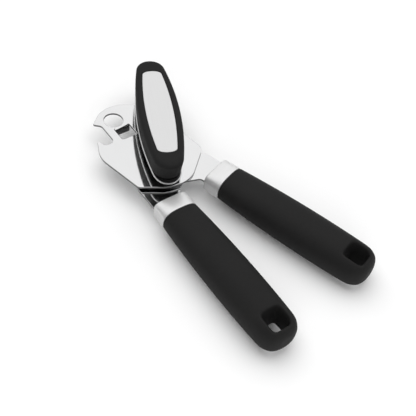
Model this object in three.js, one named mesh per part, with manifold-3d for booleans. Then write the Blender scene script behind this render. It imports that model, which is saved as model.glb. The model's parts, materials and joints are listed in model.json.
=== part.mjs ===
// Manual can opener with two soft grips, a long turning knob and a nose plate that is also a
// bottle opener.
// Millimetres. Z points up to the knob. Y points along the fixed handle towards the nose.
// The origin is on the turning axis of the knob, level with the surface the opener lies on.
// The object lies with its handles open: the fixed lever (nose plate, strip and left handle) is
// parallel to Y, and the moving lever (strip, cutting wheel and right handle) turns about a rivet.
import * as THREE from 'three';
import { mergeVertices } from 'three/addons/utils/BufferGeometryUtils.js';
import Module from 'manifold-3d';

const wasm = await Module();
wasm.setup();

// ---------------------------------------------------------------- driving dimensions
const round_steps = 24;          // sides of every round piece, so that fits stay even
const lens_steps = 8;            // steps in each curve of the knob's outlines

// fits
const run_gap = 0.06;            // radial gap of a turning fit
const fixed_gap = 0.1;           // gap round a piece that does not move in its hole
const seat_gap = 0.3;            // gap between two pieces that rest on each other
const face_gap = 0.1;            // gap between washers, wheels and nuts stacked on a pin
const sheet_gap = 0.2;           // gap between the sliding steel sheets

// steel sheets, stacked downwards from the top of the nose plate
const plate_top = 15.0;
const plate_t = 1.6;
const strip_t = 1.5;

// pivot of the two levers, and how they stand
const pivot = { x: -10.3, y: -22.0 };
const open_angle = THREE.MathUtils.degToRad(17.25);
const closed_angle = THREE.MathUtils.degToRad(1.25);

// handles
const handle_offset = 15.9;      // from the pivot sideways to the handle's middle line
const handle_front = 44.5;       // from the pivot back to the front end of the grip
const grip_length = 109.5;
const grip_centre_z = 11.9;
const grip_wide = { front: 13.4, middle: 15.4, end: 13.8 };     // half widths
const grip_high = { front: 9.3, middle: 11.7, end: 11.5 };      // half heights
const grip_end_round = 10.5;     // rounding of the grip's end, seen from above
const grip_edge_round = 8.0;     // rounding of the grip's end, seen from the side
const grip_square = 2.5;         // 2 is an oval section, more is squarer
const grip_wall = 3.0;
const core_depth = 82.0;         // how far the hard core reaches into the grip
const hang_hole = { from_end: 11.8, size: 13.4, round: 3.4, flare: 0.9, flare_depth: 2.6 };

// steel collars
const collar_length = 12.6;
const collar_step = 0.5;         // how far the collar lies below the grip's surface
const collar_wall = 1.4;
const collar_square = 3.0;

// strips
const strip_half = 10.5;         // half width where a strip enters its collar
const collar_cheek = 1.7;        // steel left beside the strip in the collar's face
const collar_front = { wide: strip_half + collar_cheek, high: 6.9 };
const strip_shoulder = 1.8;      // how far its full width runs on behind the collar's face
const tang_half = 7.0;
const tang_length = 34.0;

// turning shaft and its bush
const journal_r = 4.0;
const bush_wall = 1.5;
const bush_flange = { wide: 1.7, thick: 1.0 };
const bush_lip = { wide: 0.9, thick: 0.6 };
const top_washer = { r: 7.0, thick: 0.7 };
const knob_square = 5.6;
const wheel_square = 5.0;
const thread_r = 2.4;
const nut = { across: 8.0, thick: 3.6 };
const shaft_end = 1.0;           // what stands out below the nut
const spring_washer = { r: 5.2, thick: 0.6 };
const under_washer = { r: 6.0, thick: 0.6 };

// wheels
const feed_wheel_size = { r: 7.5, tooth: 0.9, teeth: 24, thick: 3.2 };
const cutter_size = { r: 9.0, rim: 0.25, hub_r: 5.0, thick: 1.8 };
const closed_overlap = 0.8;      // the two wheels pass each other by this much when closed
const wheel_step = 0.3;          // drop from the feed wheel's lower face to the cutting edge
const stud = { journal_r: 3.0, shoulder_r: 4.5, head_r: 5.0, head_thick: 1.2, tail_r: 2.6 };

// rivets
const pivot_rivet = { r: 3.0, head_r: 5.2, head: 1.2, washer_r: 5.4, washer: 0.6 };
const nose_rivet = { x: 4.0, y: 14.0, r: 2.2, head_r: 3.8, head: 0.9, ring_r: 4.0 };

// nose plate features
const round_hole = { x: -19.2, y: 25.5, r: 6.6 };
const lanced_hole = { x: -17.55, y: 11.35, wide: 11.7, long: 9.3, round: 1.2 };
const tongue_drop = 5.4;         // from the plate's top down to the end of the bent tongue

// knob
const knob_angle = THREE.MathUtils.degToRad(64.8);
const knob_plan = { half: 50.2, middle: 13.8, end: 8.6, corner: 6.8, bow: 1.4 };
const inlay_plan = { half: 38.1, middle: 9.2, end: 6.3, corner: 2.8, bow: 0.5 };
const knob_lift = 7.4;           // from the nose plate up to the lower edge of the soft cap
const rim_plan = {                // the bright rim follows the cap's foot and stands out from it
  half: knob_plan.half - 0.8,
  middle: knob_plan.middle - 0.5,
  end: knob_plan.end - 0.4,
  corner: knob_plan.corner - 0.2,
  bow: knob_plan.bow + 1.3,
};
const knob_rim_t = 1.1;
const knob_base_t = 1.2;
const knob_base_inset = 0.7;     // how far the base plate stays inside the bright rim
const knob_cap_high = 14.8;
const knob_cap_round = 2.8;
const knob_cap_wall = 2.8;
const knob_cap_taper = { side: 1.0, end: 2.4 };     // how much narrower the cap is at its foot
const inlay_t = 1.2;
const boss_r = 7.5;
const boss_high = 7.6;           // above the bright rim
const knob_screw = { r: 1.6, head_r: 3.2, head: 1.6, depth: 6.0 };

// ---------------------------------------------------------------- heights that follow
const plate_low = plate_top - plate_t;
const strip_a_top = plate_low - sheet_gap;
const strip_a_low = strip_a_top - strip_t;
const strip_b_top = strip_a_low - sheet_gap;
const strip_b_low = strip_b_top - strip_t;
const bush_low = strip_b_low - bush_lip.thick;
const bush_top = plate_top + bush_flange.thick;
const under_washer_low = bush_low - face_gap - under_washer.thick;
const feed_top = under_washer_low - face_gap;
const feed_low = feed_top - feed_wheel_size.thick;
const spring_low = feed_low - face_gap - spring_washer.thick;
const nut_top = spring_low - face_gap;
const nut_low = nut_top - nut.thick;
const shaft_low = nut_low - shaft_end;
const cutter_top = feed_low - wheel_step;
const cutter_low = cutter_top - cutter_size.thick;
const top_washer_low = bush_top + face_gap;
const hub_low = top_washer_low + top_washer.thick + face_gap;
const cap_low = plate_top + knob_lift;
const rim_low = cap_low - seat_gap - knob_rim_t;
const base_low = rim_low - seat_gap - knob_base_t;
const cap_top = cap_low + knob_cap_high;
const boss_top = rim_low + knob_rim_t + boss_high;

// the cutting wheel's place on the moving lever puts it on the feed wheel when closed
const closed_reach = feed_wheel_size.r + cutter_size.r - closed_overlap;
const cutter_at = new THREE.Vector2(-closed_reach - pivot.x, -pivot.y)
  .rotateAround(new THREE.Vector2(), -closed_angle);

// ---------------------------------------------------------------- shape helpers
const black_grip = () => paint(0x2b2b2b, 0.75, 0);
const black_core = () => paint(0x1c1c1c, 0.6, 0);
const polished = () => paint(0xdcdcdc, 0.12, 1);
const brushed = () => paint(0xc8c8c8, 0.38, 1);
const hardened = () => paint(0xb4b4b4, 0.3, 1);
const nylon = () => paint(0x3a3a3a, 0.5, 0);

function paint(color, roughness, metalness) {
  return new THREE.MeshStandardMaterial({ color, roughness, metalness });
}

// A closed mesh with merged corners, as a solid that can be joined and cut.
function solid(geometry) {
  const bare = geometry.clone();
  bare.deleteAttribute('normal');
  bare.deleteAttribute('uv');
  const merged = mergeVertices(bare, 1e-4);
  const index = merged.index.array;
  const triangles = [];
  for (let i = 0; i < index.length; i += 3) {
    const [a, b, c] = [index[i], index[i + 1], index[i + 2]];
    if (a !== b && b !== c && c !== a) triangles.push(a, b, c);
  }
  return new wasm.Manifold(new wasm.Mesh({
    numProp: 3,
    vertProperties: new Float32Array(merged.attributes.position.array),
    triVerts: new Uint32Array(triangles),
  }));
}

function shape_of(body) {
  const mesh = body.getMesh();
  const geometry = new THREE.BufferGeometry();
  geometry.setAttribute('position', new THREE.BufferAttribute(mesh.vertProperties, 3));
  geometry.setIndex(new THREE.BufferAttribute(mesh.triVerts, 1));
  geometry.computeVertexNormals();
  return geometry;
}

function cut(geometry, ...tools) {
  return shape_of(tools.reduce((body, tool) => body.subtract(solid(tool)), solid(geometry)));
}

function join(geometry, ...others) {
  return shape_of(others.reduce((body, other) => body.add(solid(other)), solid(geometry)));
}

// An outline from corners [x, y, radius], each rounded by an arc. It runs anticlockwise.
function outline(corners) {
  const shape = new THREE.Shape();
  const count = corners.length;
  corners.forEach(([x, y, radius], i) => {
    const here = new THREE.Vector2(x, y);
    const [px, py] = corners[(i + count - 1) % count];
    const [nx, ny] = corners[(i + 1) % count];
    const back = new THREE.Vector2(px, py).sub(here).normalize();
    const ahead = new THREE.Vector2(nx, ny).sub(here).normalize();
    const half = Math.acos(THREE.MathUtils.clamp(back.dot(ahead), -1, 1)) / 2;
    const reach = radius / Math.tan(half);
    const start = here.clone().addScaledVector(back, reach);
    const middle = back.clone().add(ahead).normalize();
    const centre = here.clone().addScaledVector(middle, radius / Math.sin(half));
    const end = here.clone().addScaledVector(ahead, reach);
    const turn = back.x * ahead.y - back.y * ahead.x;
    if (i === 0) shape.moveTo(start.x, start.y);
    else shape.lineTo(start.x, start.y);
    if (radius > 0) {
      const from = Math.atan2(start.y - centre.y, start.x - centre.x);
      const to = Math.atan2(end.y - centre.y, end.x - centre.x);
      shape.absarc(centre.x, centre.y, radius, from, to, turn > 0);
    }
  });
  shape.closePath();
  return shape;
}

// A round hole with the same even sides as the turned pieces that go through it.
function circle(x, y, r) {
  const points = [];
  for (let i = 0; i < round_steps; i += 1) {
    const angle = 2 * Math.PI * i / round_steps;
    points.push(new THREE.Vector2(x + r * Math.cos(angle), y + r * Math.sin(angle)));
  }
  return new THREE.Path().setFromPoints(points);
}

function box_outline(x, y, wide, long, round) {
  const [w, l] = [wide / 2, long / 2];
  return outline([
    [x - w, y - l, round], [x + w, y - l, round], [x + w, y + l, round], [x - w, y + l, round],
  ]);
}

// A long shape along X with bulging sides. Each end is one curve that bows out past half.
function lens(plan, grow = 0) {
  const half = plan.half + grow;
  const end = plan.end + grow;
  const corner = plan.corner + grow;
  const bulge = 2 * (plan.middle + grow) - end;
  const turn = { x: half - corner, y: end + (bulge - end) * corner / half };
  const pull_x = half + (4 * plan.bow + corner) / 3;
  const pull_y = turn.y + (pull_x - turn.x) * (end - turn.y) / corner;
  const shape = new THREE.Shape();
  shape.moveTo(turn.x, -turn.y);
  shape.bezierCurveTo(pull_x, -pull_y, pull_x, pull_y, turn.x, turn.y);
  shape.quadraticCurveTo(0, bulge, -turn.x, turn.y);
  shape.bezierCurveTo(-pull_x, pull_y, -pull_x, -pull_y, -turn.x, -turn.y);
  shape.quadraticCurveTo(0, -bulge, turn.x, -turn.y);
  return shape;
}

function slab(shape, low, high, steps = 3) {
  const geometry = new THREE.ExtrudeGeometry(shape, {
    depth: high - low, bevelEnabled: false, curveSegments: steps,
  });
  return geometry.translate(0, 0, low);
}

// A turned piece about Z from [radius, height] points that run up its outside.
function turned(points, x = 0, y = 0) {
  const profile = points.map(([r, z]) => new THREE.Vector2(r, z));
  return new THREE.LatheGeometry(profile, round_steps).rotateX(Math.PI / 2).translate(x, y, 0);
}

function rod(r, low, high, x = 0, y = 0) {
  return turned([[0, low], [r, low], [r, high], [0, high]], x, y);
}

function ring(inner, outer, low, high, x = 0, y = 0) {
  return turned([[inner, low], [outer, low], [outer, high], [inner, high], [inner, low]], x, y);
}

function square_bar(size, low, high) {
  return new THREE.BoxGeometry(size, size, high - low).translate(0, 0, (low + high) / 2);
}

// A body along Y whose section is a rounded oval with its own half width and height at each
// station {y, wide, high}. Stations run towards +Y.
function lofted(stations, power, x, z, steps = round_steps) {
  const last = stations.length - 1;
  const profile = [new THREE.Vector2(0, 0)];
  stations.forEach((_, i) => profile.push(new THREE.Vector2(1, i)));
  profile.push(new THREE.Vector2(0, last));
  const geometry = new THREE.LatheGeometry(profile, steps);
  const place = geometry.attributes.position;
  const soften = (value) => Math.sign(value) * Math.abs(value) ** (2 / power);
  for (let i = 0; i < place.count; i += 1) {
    const station = stations[Math.round(place.getY(i))];
    const across = soften(place.getX(i)) * station.wide;
    const up = soften(place.getZ(i)) * station.high;
    place.setXYZ(i, x + across, station.y, z + up);
  }
  return geometry;
}

function parabola({ front, middle, end }, t) {
  return front * (1 - t) * (1 - 2 * t) + 4 * middle * t * (1 - t) + end * t * (2 * t - 1);
}

function named(name, geometry, material) {
  const mesh = new THREE.Mesh(geometry, material);
  mesh.name = name;
  return mesh;
}

// ---------------------------------------------------------------- handles
// Every handle piece is made about the line x, with its grip starting at y = front.
function grip_stations(front, inset, depth) {
  const stations = [];
  const straight = 10;
  const full = depth === grip_length;
  const stop = full ? grip_length - grip_end_round : depth;
  for (let i = 0; i <= straight; i += 1) {
    const s = stop * i / straight;
    const t = s / grip_length;
    stations.push({
      y: front - s,
      wide: parabola(grip_wide, t) - inset,
      high: parabola(grip_high, t) - inset - end_drop(s),
    });
  }
  const turns = 6;
  for (let i = 1; full && i <= turns; i += 1) {
    const angle = (Math.PI / 2) * i / turns;
    const s = stop + grip_end_round * Math.sin(angle);
    stations.push({
      y: front - s,
      wide: parabola(grip_wide, s / grip_length) - grip_end_round * (1 - Math.cos(angle)),
      high: parabola(grip_high, s / grip_length) - end_drop(s),
    });
  }
  return stations.reverse();
}

// How much the grip's end round takes off its half height at a distance s from the front.
function end_drop(s) {
  const into = Math.max(0, s - (grip_length - grip_edge_round));
  return grip_edge_round - Math.sqrt(Math.max(0, grip_edge_round ** 2 - into ** 2));
}

function hang_hole_tool(x, y) {
  const size = hang_hole.size;
  const through = slab(box_outline(x, y, size, size, hang_hole.round), -5, 30);
  const top = grip_centre_z + grip_high.end;
  const low = grip_centre_z - grip_high.end;
  const wide = size + 2 * hang_hole.flare;
  const flare = box_outline(x, y, wide, wide, hang_hole.round + hang_hole.flare);
  return [
    through,
    slab(flare, top - hang_hole.flare_depth, 30),
    slab(flare, -5, low + hang_hole.flare_depth),
  ];
}

function soft_grip(x, front) {
  const outer = lofted(grip_stations(front, 0, grip_length), grip_square, x, grip_centre_z);
  const inner = grip_stations(front, grip_wall, core_depth);
  inner.push({ ...inner.at(-1), y: front + 5 });
  const pocket = lofted(inner, grip_square, x, grip_centre_z);
  const hole_y = front - grip_length + hang_hole.from_end;
  return cut(outer, pocket, ...hang_hole_tool(x, hole_y));
}

function neck_size(inset) {
  return {
    wide: collar_front.wide - collar_wall - inset,
    high: collar_front.high - collar_wall - inset,
  };
}

function shoulder_y(front) {
  return front + collar_length - collar_wall - strip_shoulder;
}

function tang_pocket(x, front, z_low, z_high) {
  const gap = seat_gap;
  const deep = front - tang_length - gap;
  const tall = z_high - z_low + 2 * gap;
  const long = front + collar_length + 5 - deep;
  return new THREE.BoxGeometry(2 * (tang_half + gap), long, tall)
    .translate(x, deep + long / 2, (z_low + z_high) / 2);
}

// The hard core fills the grip's pocket, and its neck fills the collar.
function hard_core(x, front, z_low, z_high) {
  const body = grip_stations(front, grip_wall + seat_gap, core_depth - seat_gap);
  const neck_end = shoulder_y(front) - seat_gap;
  const neck = neck_size(seat_gap);
  const stations = [...body, { ...neck, y: front + 0.01 }, { ...neck, y: neck_end }];
  return cut(
    lofted(stations, grip_square, x, grip_centre_z),
    tang_pocket(x, front, z_low, z_high),
  );
}

function collar(x, front, z_low, z_high) {
  const back = front + seat_gap;
  const tip = front + collar_length;
  const rear = { wide: grip_wide.front - collar_step, high: grip_high.front - collar_step };
  const nose = { wide: collar_front.wide, high: collar_front.high };
  const edge = 0.8;
  const outer = lofted([
    { ...rear, y: back },
    { ...nose, y: tip - edge },
    { wide: nose.wide - edge * 0.7, high: nose.high - edge * 0.7, y: tip },
  ], collar_square, x, grip_centre_z);
  const inside = neck_size(0);
  const bore = lofted([
    { ...inside, y: back - 5 },
    { ...inside, y: tip - collar_wall },
  ], grip_square, x, grip_centre_z);
  const slot_wide = 2 * (strip_half + seat_gap);
  const slot = new THREE.BoxGeometry(slot_wide, 6, z_high - z_low + 2 * seat_gap)
    .translate(x, tip, (z_low + z_high) / 2);
  return cut(outer, bore, slot);
}

function handle(letter, x, front, z_low, z_high) {
  const group = new THREE.Group();
  group.add(
    named(`grip_${letter}`, soft_grip(x, front), black_grip()),
    named(`core_${letter}`, hard_core(x, front, z_low, z_high), black_core()),
    named(`collar_${letter}`, collar(x, front, z_low, z_high), brushed()),
  );
  return group;
}

// Corners of a strip's end: full width through the collar's face, then the narrower tang.
// side is -1 for a handle left of the pivot and 1 for one on its right.
function strip_end(side) {
  const x = side * handle_offset;
  const neck = shoulder_y(-handle_front);
  const tail = -handle_front - tang_length;
  return [
    [x - strip_half, neck, 0.6],
    [x - tang_half, neck, 0.6],
    [x - tang_half, tail, 3],
    [x + tang_half, tail, 3],
    [x + tang_half, neck, 0.6],
    [x + strip_half, neck, 0.6],
  ];
}

// ---------------------------------------------------------------- fixed lever
// The nose plate's outline, about the turning axis.
function head_plate() {
  const edge = outline([
    [-29.25, 7.8, 3.2],           // bottle opener's mouth, inner corner
    [-29.25, 24.6, 3.5],
    [-33.9, 28.6, 1.3],           // its beak
    [-22.5, 37.6, 16],
    [-7.5, 38.0, 18],
    [5.5, 28.0, 14],
    [14.0, 2.0, 30],
    [19.6, -26.2, 7],
    [-3.5, -46.4, 18],
    [-20.5, -44.6, 20],
    [-37.4, -34.8, 3.5],
    [-45.6, -0.5, 16],
    [-38.6, 15.0, 1.2],           // its lower lip
    [-36.4, 7.4, 3],
  ].reverse());
  edge.holes.push(
    circle(0, 0, journal_r + bush_wall + fixed_gap),
    circle(pivot.x, pivot.y, pivot_rivet.r + fixed_gap),
    circle(nose_rivet.x, nose_rivet.y, nose_rivet.r + fixed_gap),
    circle(round_hole.x, round_hole.y, round_hole.r),
    box_outline(
      lanced_hole.x, lanced_hole.y, lanced_hole.wide, lanced_hole.long, lanced_hole.round,
    ),
  );
  const far = lanced_hole.y + lanced_hole.long / 2;
  const tongue = new THREE.BoxGeometry(lanced_hole.wide, plate_t, tongue_drop - 0.1)
    .translate(lanced_hole.x, far + plate_t / 2, plate_top - (tongue_drop + 0.1) / 2);
  return join(slab(edge, plate_low, plate_top, 4), tongue);
}

function fixed_strip() {
  const [first, ...rest] = strip_end(-1);
  const edge = outline([
    first, ...rest,
    [-handle_offset + strip_half, -28.0, 3],
    [2.0, -21.5, 6],
    [8.5, -8.0, 12],
    [18.5, 10.0, 8],
    [20.0, 41.0, 5],
    [7.5, 41.0, 5],
    [1.6, 27.0, 8],
    [1.6, 17.5, 6],
    [-12.0, 4.0, 14],
    [-handle_offset - strip_half, -7.0, 10],
  ]);
  edge.holes.push(
    circle(-pivot.x, -pivot.y, journal_r + bush_wall + fixed_gap),
    circle(0, 0, pivot_rivet.r + fixed_gap),
    circle(nose_rivet.x - pivot.x, nose_rivet.y - pivot.y, nose_rivet.r + fixed_gap),
  );
  return slab(edge, strip_b_low, strip_b_top).translate(pivot.x, pivot.y, 0);
}

function shaft_bush() {
  const inner = journal_r + run_gap;
  const outer = journal_r + bush_wall;
  const flange = outer + bush_flange.wide;
  const lip = outer + bush_lip.wide;
  const under = plate_top + 0.02;
  const over = strip_b_low - 0.02;
  return turned([
    [inner, bush_low], [lip, bush_low], [lip, over], [outer, over], [outer, under],
    [flange, under], [flange, bush_top], [inner, bush_top], [inner, bush_low],
  ]);
}

function spacer(inner, outer, x, y) {
  return ring(inner + fixed_gap, outer, strip_b_top + 0.05, plate_low - 0.05, x, y);
}

// A rivet with a low domed head above the nose plate and a flat one below.
function rivet({ r, head_r, head }, low_face, x, y) {
  const under = plate_top + 0.02;
  return turned([
    [0, low_face - head], [head_r * 0.8, low_face - head], [head_r, low_face - head * 0.6],
    [head_r, low_face], [r, low_face], [r, under], [head_r, under],
    [head_r * 0.92, under + head * 0.5], [head_r * 0.6, under + head * 0.9], [0, under + head],
  ], x, y);
}

function fixed_lever() {
  const group = new THREE.Group();
  const bush_r = journal_r + bush_wall;
  const washer_low = strip_b_low - face_gap - pivot_rivet.washer;
  const washer = ring(
    pivot_rivet.r + fixed_gap, pivot_rivet.washer_r, washer_low, strip_b_low - face_gap,
    pivot.x, pivot.y,
  );
  const { x, y, r, ring_r } = nose_rivet;
  group.add(
    named('head_plate', head_plate(), polished()),
    named('fixed_strip', fixed_strip(), polished()),
    named('shaft_bush', shaft_bush(), hardened()),
    named('bush_spacer', spacer(bush_r, bush_r + 0.7, 0, 0), hardened()),
    named('pivot_rivet', rivet(pivot_rivet, washer_low - 0.05, pivot.x, pivot.y), polished()),
    named('pivot_washer', washer, hardened()),
    named('nose_rivet', rivet(nose_rivet, strip_b_low - 0.05, x, y), polished()),
    named('nose_spacer', spacer(r, ring_r, x, y), hardened()),
    handle('b', pivot.x - handle_offset, pivot.y - handle_front, strip_b_low, strip_b_top),
  );
  return group;
}

// ---------------------------------------------------------------- moving lever, about its pivot
function moving_strip() {
  const nose = 8.0;
  const edge = outline([
    ...strip_end(1),
    [handle_offset + strip_half, -16.0, 12],
    [12.0, 3.0, 12],
    [2.0, 13.0, 8],
    [cutter_at.x + nose, cutter_at.y + nose, nose - 0.2],
    [cutter_at.x - nose, cutter_at.y + nose, nose - 0.2],
    [-14.6, 2.0, 10],
    [-13.0, -18.0, 9],
    [-3.0, -22.5, 4],
    [handle_offset - strip_half, -28.5, 3],
  ]);
  edge.holes.push(
    circle(0, 0, pivot_rivet.r + run_gap),
    circle(cutter_at.x, cutter_at.y, stud.tail_r + fixed_gap),
  );
  return slab(edge, strip_a_low, strip_a_top);
}

function cutter_stud() {
  const shoulder_low = cutter_top + face_gap;
  const head_top = cutter_low - face_gap;
  return turned([
    [0, head_top - stud.head_thick], [stud.head_r * 0.85, head_top - stud.head_thick],
    [stud.head_r, head_top - stud.head_thick * 0.5], [stud.head_r, head_top],
    [stud.journal_r, head_top], [stud.journal_r, shoulder_low],
    [stud.shoulder_r, shoulder_low], [stud.shoulder_r, strip_a_low - 0.02],
    [stud.tail_r, strip_a_low - 0.02], [stud.tail_r, strip_a_top - 0.02], [0, strip_a_top - 0.02],
  ], cutter_at.x, cutter_at.y);
}

// A round blade: flat on the side that faces the can's rim, ground to an edge from below.
function cutting_wheel() {
  const { r, rim, hub_r, thick } = cutter_size;
  const inner = stud.journal_r + run_gap;
  return turned([
    [inner, cutter_low], [hub_r, cutter_low], [hub_r, cutter_low + 0.3],
    [r - 2.2, cutter_low + 0.5], [r, cutter_low + thick - rim], [r, cutter_top],
    [inner, cutter_top], [inner, cutter_low],
  ], cutter_at.x, cutter_at.y);
}

function moving_lever() {
  const group = new THREE.Group();
  group.position.set(pivot.x, pivot.y, 0);
  group.rotation.z = open_angle;
  group.add(
    named('moving_strip', moving_strip(), polished()),
    named('cutter_stud', cutter_stud(), hardened()),
    named('cutting_wheel', cutting_wheel(), hardened()),
    handle('a', handle_offset, -handle_front, strip_a_low, strip_a_top),
  );
  return group;
}

// ---------------------------------------------------------------- shaft, feed wheel and knob
function drive_shaft() {
  const round_high = hub_low - 0.2;
  const screw_low = boss_top - knob_screw.depth;
  const bare = turned([
    [0, shaft_low], [thread_r, shaft_low], [thread_r, feed_low], [thread_r, feed_top],
    [journal_r, feed_top], [journal_r, round_high], [0, round_high],
  ]);
  const joined = join(
    bare,
    square_bar(wheel_square, feed_low + 0.1, feed_top + 0.5),
    square_bar(knob_square, round_high - 0.5, boss_top - 0.4),
  );
  return cut(joined, rod(knob_screw.r + fixed_gap, screw_low - 0.5, boss_top + 1));
}

function feed_wheel() {
  const { r, tooth, teeth } = feed_wheel_size;
  const shape = new THREE.Shape();
  for (let i = 0; i < teeth; i += 1) {
    const step = 2 * Math.PI / teeth;
    const tip = i * step;
    const root = tip + step / 2;
    const tip_at = [r * Math.cos(tip), r * Math.sin(tip)];
    if (i === 0) shape.moveTo(...tip_at);
    else shape.lineTo(...tip_at);
    shape.lineTo((r - tooth) * Math.cos(root), (r - tooth) * Math.sin(root));
  }
  shape.closePath();
  shape.holes.push(box_outline(0, 0, wheel_square + 0.2, wheel_square + 0.2, 0));
  return slab(shape, feed_low, feed_top);
}

function hex_nut() {
  const corner = nut.across / 2 / Math.cos(Math.PI / 6);
  const body = new THREE.CylinderGeometry(corner, corner, nut.thick, 6)
    .rotateX(Math.PI / 2).translate(0, 0, (nut_low + nut_top) / 2);
  return cut(body, rod(thread_r + fixed_gap, nut_low - 1, nut_top + 1));
}

function knob_base() {
  const edge = lens(rim_plan, -knob_base_inset);
  const plate = slab(edge, base_low, base_low + knob_base_t, lens_steps);
  const boss = rod(boss_r, hub_low, boss_top - 0.1);
  return cut(
    join(plate, boss),
    square_bar(knob_square + 0.2, hub_low - 1, boss_top - 0.3),
    rod(knob_screw.r + fixed_gap, boss_top - 1, boss_top + 1),
  );
}

function knob_rim() {
  const plate = slab(lens(rim_plan), rim_low, rim_low + knob_rim_t, lens_steps);
  return cut(plate, rod(boss_r + seat_gap, rim_low - 1, rim_low + knob_rim_t + 1));
}

// Draws the cap in towards its foot.
function taper(geometry, plan) {
  const place = geometry.attributes.position;
  for (let i = 0; i < place.count; i += 1) {
    const down = (cap_top - place.getZ(i)) / knob_cap_high;
    place.setX(i, place.getX(i) * (1 - down * knob_cap_taper.end / plan.half));
    place.setY(i, place.getY(i) * (1 - down * knob_cap_taper.side / plan.middle));
  }
}

function knob_cap() {
  const bevel = knob_cap_round;
  const body = new THREE.ExtrudeGeometry(lens(knob_plan), {
    depth: knob_cap_high,
    bevelEnabled: true,
    bevelSize: bevel,
    bevelThickness: bevel,
    bevelOffset: -bevel,
    bevelSegments: 2,
    curveSegments: lens_steps,
  }).translate(0, 0, cap_low - bevel);
  taper(body, knob_plan);
  const below = new THREE.BoxGeometry(200, 200, 40).translate(0, 0, cap_low - 20);
  const roof = cap_top - inlay_t - knob_cap_wall;
  const inner = lens(knob_plan, -knob_cap_wall - knob_cap_taper.side);
  const hollow = slab(inner, cap_low - 5, roof, lens_steps);
  const recess = slab(lens(inlay_plan, 0.15), cap_top - inlay_t, cap_top + 5, lens_steps);
  return cut(body, below, hollow, recess);
}

function knob_inlay() {
  return slab(lens(inlay_plan), cap_top - inlay_t + 0.1, cap_top + 0.05, lens_steps);
}

function knob_fastener() {
  const { r, head_r, head, depth } = knob_screw;
  return turned([
    [0, boss_top - depth], [r, boss_top - depth], [r, boss_top],
    [head_r, boss_top], [head_r, boss_top + head * 0.5],
    [head_r * 0.7, boss_top + head], [0, boss_top + head],
  ]);
}

function turning_group() {
  const group = new THREE.Group();
  group.rotation.z = knob_angle;
  const top = ring(
    journal_r + fixed_gap, top_washer.r, top_washer_low, top_washer_low + top_washer.thick,
  );
  const under = ring(
    journal_r + fixed_gap, under_washer.r, under_washer_low, under_washer_low + under_washer.thick,
  );
  const spring = ring(
    thread_r + fixed_gap, spring_washer.r, spring_low, spring_low + spring_washer.thick,
  );
  group.add(
    named('drive_shaft', drive_shaft(), hardened()),
    named('feed_wheel', feed_wheel(), hardened()),
    named('upper_washer', top, nylon()),
    named('lower_washer', under, hardened()),
    named('spring_washer', spring, hardened()),
    named('shaft_nut', hex_nut(), polished()),
    named('knob_base', knob_base(), black_core()),
    named('knob_rim', knob_rim(), polished()),
    named('knob_cap', knob_cap(), black_grip()),
    named('knob_inlay', knob_inlay(), brushed()),
    named('knob_screw', knob_fastener(), hardened()),
  );
  return group;
}

const can_opener = new THREE.Group();
can_opener.add(fixed_lever(), moving_lever(), turning_group());

export default can_opener;
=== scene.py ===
"""Looks of a manual can opener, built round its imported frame.

Shapes are drawn in millimetres, in the frame of the CAD model, and go to metres when a piece is
finished. The handles and strips of both levers are drawn about the pivot with the handle along
-Y, and the moving lever's pieces are then turned by its opening angle.
"""
import json
import math

import bmesh
import bpy
from mathutils import Matrix, Vector


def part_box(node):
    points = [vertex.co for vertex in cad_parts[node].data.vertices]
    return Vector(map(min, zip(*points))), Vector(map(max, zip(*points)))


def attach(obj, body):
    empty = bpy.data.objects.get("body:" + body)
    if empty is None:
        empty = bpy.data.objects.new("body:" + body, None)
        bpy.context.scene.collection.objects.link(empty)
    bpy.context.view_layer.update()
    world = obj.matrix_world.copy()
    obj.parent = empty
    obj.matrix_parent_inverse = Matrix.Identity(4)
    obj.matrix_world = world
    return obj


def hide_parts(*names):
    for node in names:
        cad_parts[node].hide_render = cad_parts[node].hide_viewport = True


MM = 0.001
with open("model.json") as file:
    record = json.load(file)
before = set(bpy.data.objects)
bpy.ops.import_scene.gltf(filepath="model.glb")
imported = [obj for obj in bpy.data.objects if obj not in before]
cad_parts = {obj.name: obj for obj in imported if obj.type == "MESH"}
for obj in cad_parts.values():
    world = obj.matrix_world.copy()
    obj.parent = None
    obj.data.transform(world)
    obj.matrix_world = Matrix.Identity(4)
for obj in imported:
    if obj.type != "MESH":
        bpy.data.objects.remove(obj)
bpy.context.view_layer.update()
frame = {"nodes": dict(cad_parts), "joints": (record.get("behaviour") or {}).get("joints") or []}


def span(node):
    """Lowest and highest corner of a CAD node, in millimetres."""
    low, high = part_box(node)
    return Vector(low) / MM, Vector(high) / MM


def joint_at(name):
    found = [joint for joint in frame["joints"] if joint["name"] == name][0]
    return Vector(found["pos_m"]) / MM


# ---------------------------------------------------------------- sizes and places
PIVOT = joint_at("handle_pivot")
CUTTER = joint_at("cutter_spin")
OPEN_ANGLE = math.radians(17.25)
KNOB_ANGLE = math.radians(64.8)

HANDLE_OFFSET = 15.9
HANDLE_FRONT = 44.5
GRIP_LENGTH = 109.5
GRIP_CENTRE = 11.9
GRIP_WIDE = (13.4, 15.4, 13.8)
GRIP_HIGH = (9.3, 11.7, 11.5)
GRIP_END_ROUND = 10.5
GRIP_EDGE_ROUND = 8.0
GRIP_WALL = 2.9
POCKET_DEPTH = 82.0
HOLE_FROM_END = 11.8
HOLE_HALF = 6.7

COLLAR_LENGTH = 12.6
COLLAR_FRONT = (12.2, 6.9)
COLLAR_STEP = 0.5
COLLAR_WALL = 1.4

STRIP_HALF = 10.5
STRIP_SHOULDER = 1.8
TANG_HALF = 7.0
TANG_LENGTH = 34.0

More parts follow.
